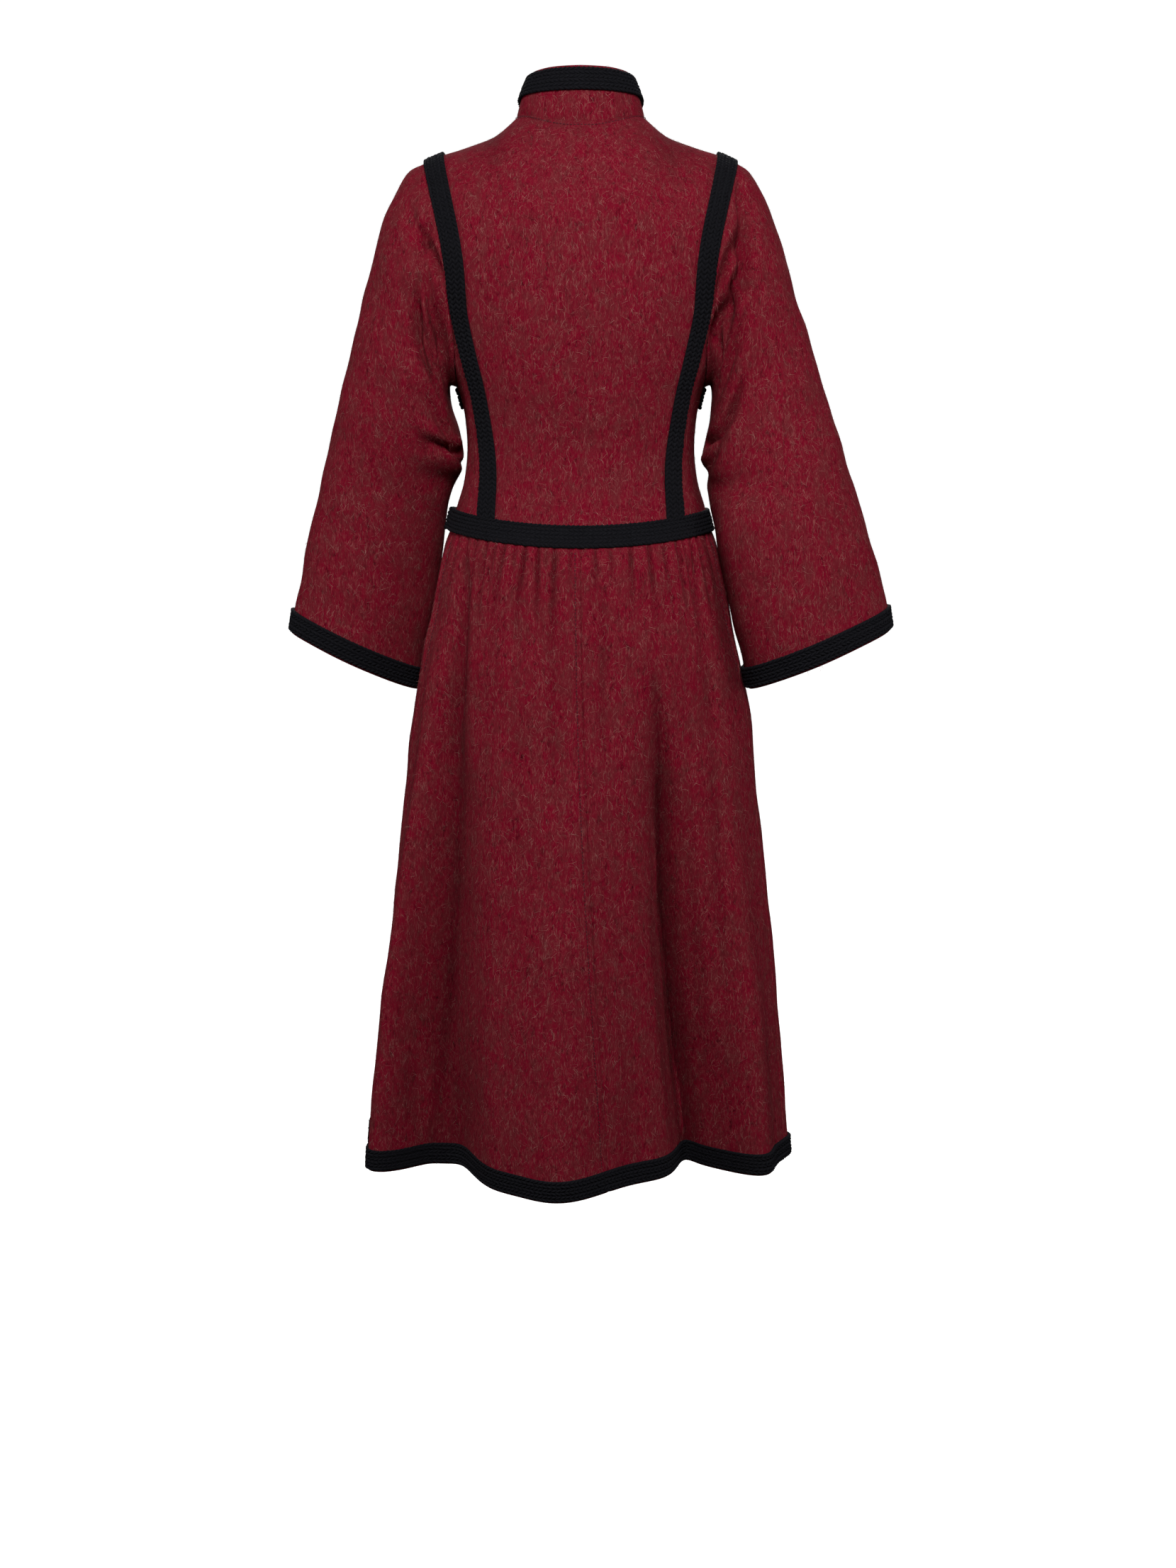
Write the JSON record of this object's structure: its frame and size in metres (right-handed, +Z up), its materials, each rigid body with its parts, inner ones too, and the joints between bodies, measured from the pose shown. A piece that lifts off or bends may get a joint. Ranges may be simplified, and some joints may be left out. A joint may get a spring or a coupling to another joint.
{
  "type": "wool coat",
  "caption": "Long wool coat in worn form: fitted bodice, gathered skirt, wide bell sleeves, stand collar, knitted braid on the seams and edges.",
  "frame": {"origin": "midway between the shoulders, on the shoulder line, where the coat rests on its wearer", "axes": "+Z up, +Y towards the back of the coat, +X towards the wearer's left"},
  "size_m": [0.69, 0.3315, 1.2239],
  "materials": {
    "red_wool": "brushed wool with a short vertical nap, deep red flecked with tan",
    "black_braid": "flat knitted wool braid",
    "black_button": "horn-like, softly polished"
  },
  "bodies": {
    "root": {"back_bodice": "red_wool", "side_back_left": "red_wool", "side_back_right": "red_wool", "front_left": "red_wool", "front_right": "red_wool", "sleeve_left": "red_wool", "sleeve_right": "red_wool", "skirt_back_left": "red_wool", "skirt_back_right": "red_wool", "skirt_front_left": "red_wool", "skirt_front_right": "red_wool", "collar": "red_wool", "braid_armhole_left": "black_braid", "braid_armhole_right": "black_braid", "braid_cuff_left": "black_braid", "braid_cuff_right": "black_braid", "braid_collar": "black_braid", "braid_waist": "black_braid", "braid_hem": "black_braid", "button_1": "black_button", "button_2": "black_button", "button_3": "black_button", "button_4": "black_button", "button_5": "black_button", "button_6": "black_button"}
  },
  "joints": []
}
